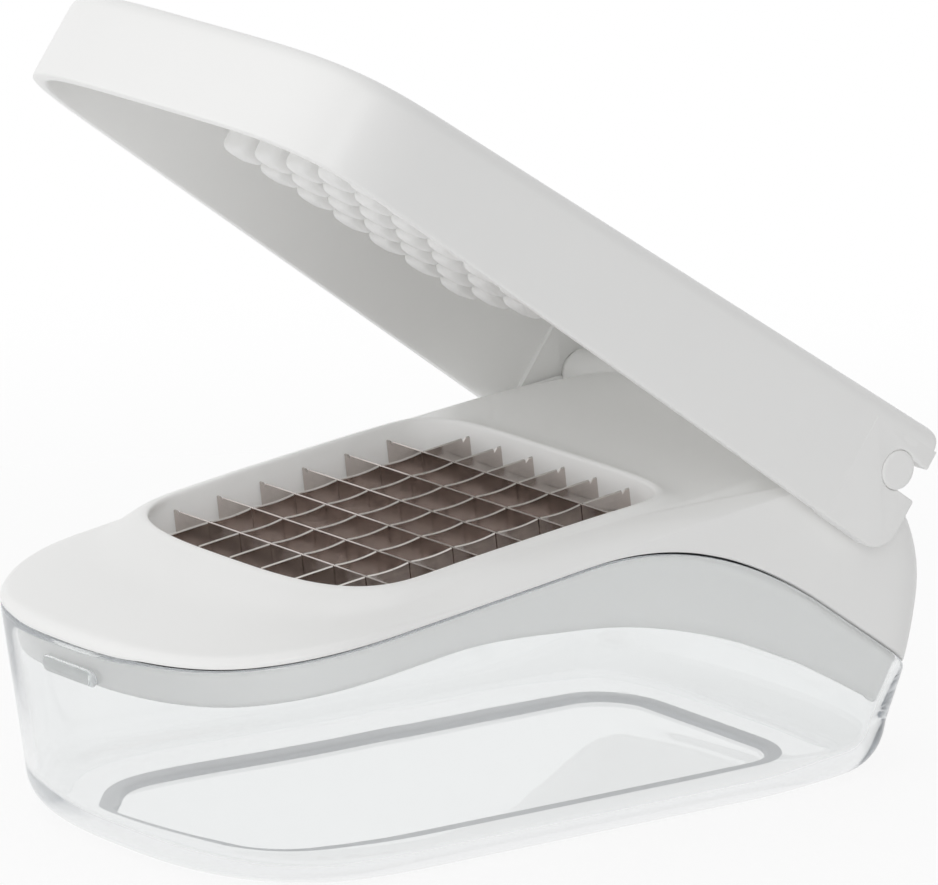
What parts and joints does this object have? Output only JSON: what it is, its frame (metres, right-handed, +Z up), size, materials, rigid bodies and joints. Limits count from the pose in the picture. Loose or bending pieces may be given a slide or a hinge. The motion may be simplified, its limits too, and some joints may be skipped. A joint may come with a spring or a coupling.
{
  "type": "vegetable chopper",
  "caption": "Lever vegetable chopper: a hinged lid with a post pusher presses food through a steel blade grid into a clear container.",
  "frame": {"origin": "middle of the bounding box at the level of the table, with the lid at its pictured angle", "axes": "+X from the container's front to the hinge, +Y to the far side in the picture, +Z up"},
  "size_m": [0.1993, 0.1184, 0.1767],
  "materials": {
    "clear_plastic": "clear polished styrene plastic",
    "white_plastic": "smooth white moulded plastic",
    "blade_steel": "stainless strip with ground cutting edges",
    "screw_steel": "plain stainless screw"
  },
  "bodies": {
    "container": {"container": "clear_plastic"},
    "cutter": {"body": "white_plastic", "blade_frame": "white_plastic", "blade_retainer": "white_plastic", "frame_screws": "screw_steel", "hinge_pin_near": "white_plastic", "hinge_pin_far": "white_plastic", "cross_blade_1": "blade_steel", "long_blade_1": "blade_steel", "cross_blade_2": "blade_steel", "long_blade_2": "blade_steel", "cross_blade_3": "blade_steel", "long_blade_3": "blade_steel", "cross_blade_4": "blade_steel", "long_blade_4": "blade_steel", "cross_blade_5": "blade_steel", "long_blade_5": "blade_steel", "cross_blade_6": "blade_steel", "long_blade_6": "blade_steel"},
    "press": {"lid": "white_plastic", "pusher": "white_plastic"}
  },
  "joints": [
    {"name": "body_lift", "type": "slide", "parent": "container", "child": "cutter", "axis": [0, 0, 1], "range_m": [0, 0.06]},
    {"name": "lid_hinge", "type": "hinge", "parent": "cutter", "child": "press", "pos_m": [0.0778, 0, 0.0706], "axis": [0, 1, 0], "range_deg": [-36.3, 10]}
  ]
}
